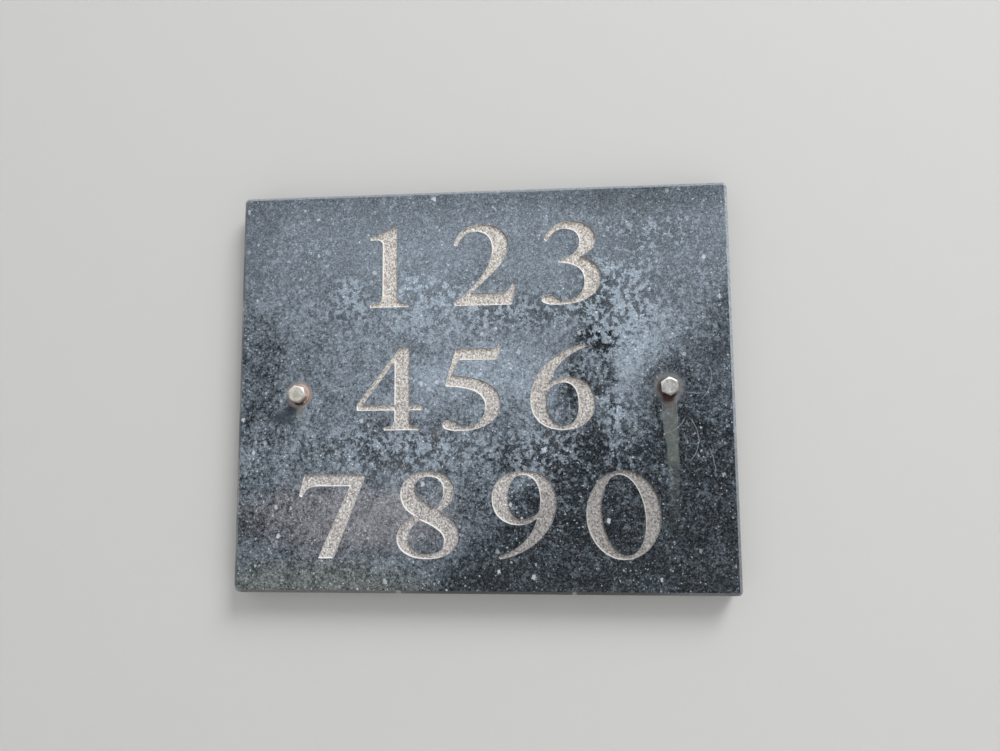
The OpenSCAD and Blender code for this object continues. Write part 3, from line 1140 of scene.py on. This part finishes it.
def one_sided(material):
    """Makes a stage material clear from its back, so that views from behind see past it."""
    tree = material.node_tree
    geometry_node = tree.nodes.new("ShaderNodeNewGeometry")
    clear = tree.nodes.new("ShaderNodeBsdfTransparent")
    choice = tree.nodes.new("ShaderNodeMixShader")
    tree.links.new(geometry_node.outputs["Backfacing"], choice.inputs["Fac"])
    tree.links.new(tree.nodes["Principled BSDF"].outputs[0], choice.inputs[1])
    tree.links.new(clear.outputs[0], choice.inputs[2])
    tree.links.new(choice.outputs[0], tree.nodes["Material Output"].inputs["Surface"])


def pale_material(name):
    material = bpy.data.materials.new(name)
    material.use_nodes = True
    shader = material.node_tree.nodes["Principled BSDF"]
    shader.inputs["Base Color"].default_value = srgb(206, 205, 202)
    shader.inputs["Roughness"].default_value = 0.9
    return material


def build_stage():
    """A pale floor, and a pale backdrop at the stone's back, with an opening that the stone covers.

    The opening lets light reach the back of the stone, for views from behind.
    """
    half_m, floor_m, top_m, gap_m, overlap_m = 3, -0.6, 2.4, 0.0004, 0.0015
    backdrop = pale_material("backdrop")
    one_sided(backdrop)

    def upright(half_w, low, high):
        return [(x, gap_m, z) for x, z in ((-half_w, low), (half_w, low), (half_w, high), (-half_w, high))]

    outer = upright(half_m, floor_m, top_m)
    inner = upright(STONE_W / 2 * MM - overlap_m, overlap_m - STONE_H / 2 * MM, STONE_H / 2 * MM - overlap_m)
    sides = [(0, 1, 5, 4), (1, 2, 6, 5), (2, 3, 7, 6), (3, 0, 4, 7)]
    add_sheet(outer + inner, sides, backdrop)
    floor = [(half_m * x, half_m * y, floor_m) for x, y in ((-1, -1), (1, -1), (1, 1), (-1, 1))]
    add_sheet(floor, [(0, 1, 2, 3)], pale_material("floor"))


def add_lamp(name, place_m, size_m, power):
    data = bpy.data.lights.new(name, "AREA")
    data.size = size_m
    data.energy = power
    lamp = placed(name, data)
    lamp.location = place_m
    lamp.rotation_euler = (-Vector(place_m)).to_track_quat("-Z", "Y").to_euler()


def build_light():
    """A grey world a little brighter above, and broad lamps from the upper right."""
    world = bpy.data.worlds.new("world")
    world.use_nodes = True
    tree = world.node_tree
    coordinates = tree.nodes.new("ShaderNodeTexCoord")
    split = tree.nodes.new("ShaderNodeSeparateXYZ")
    ramp = tree.nodes.new("ShaderNodeValToRGB")
    tree.links.new(coordinates.outputs["Generated"], split.inputs[0])
    height = tree.nodes.new("ShaderNodeMapRange")
    height.inputs["From Min"].default_value = -1
    tree.links.new(split.outputs["Z"], height.inputs["Value"])
    tree.links.new(height.outputs[0], ramp.inputs["Fac"])
    stops = ramp.color_ramp.elements
    stops[0].position = 0.3
    stops[0].color = (0.3, 0.3, 0.31, 1)
    stops[1].position = 0.9
    stops[1].color = (0.72, 0.74, 0.78, 1)
    tree.links.new(ramp.outputs["Color"], tree.nodes["Background"].inputs["Color"])
    bpy.context.scene.world = world
    add_lamp("key", (1.6, -2, 2.6), 1.5, 96)
    add_lamp("behind", (-0.6, 1.4, 0.9), 1, 12)


def dress_anchor_parts():
    """Gives the CAD's own sleeves, rings and nuts their finishes."""
    finishes = {
        "spacer_sleeve": sleeve_zinc(),
        "crush_ring": ring_plastic(),
        "expansion_sleeve": sleeve_zinc(),
        "cone_nut": nut_zinc(),
    }
    for side in HOLES:
        for part, material in finishes.items():
            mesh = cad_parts[f"{side}_{part}"].data
            mesh.materials.clear()
            mesh.materials.append(material)


def build_pieces():
    stone = build_stone([polished_stone(), bevel_stone(), blasted_stone(), sawn_stone()])
    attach(stone, "root")
    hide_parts("stone_slab")
    # The washers' finish is rust, with a painted highlight and painted shadow
    zinc, rust = zinc_head(), rusty_steel()
    for side in HOLES:
        bolt = build_bolt(side, zinc)
        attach(bolt, "root")
        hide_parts(f"{side}_bolt")
        washer = build_washer(side, rust)
        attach(washer, "root")
        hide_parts(f"{side}_washer")


place_camera()
build_pieces()
dress_anchor_parts()
build_stage()
build_light()
bpy.context.scene.view_settings.view_transform = "Standard"
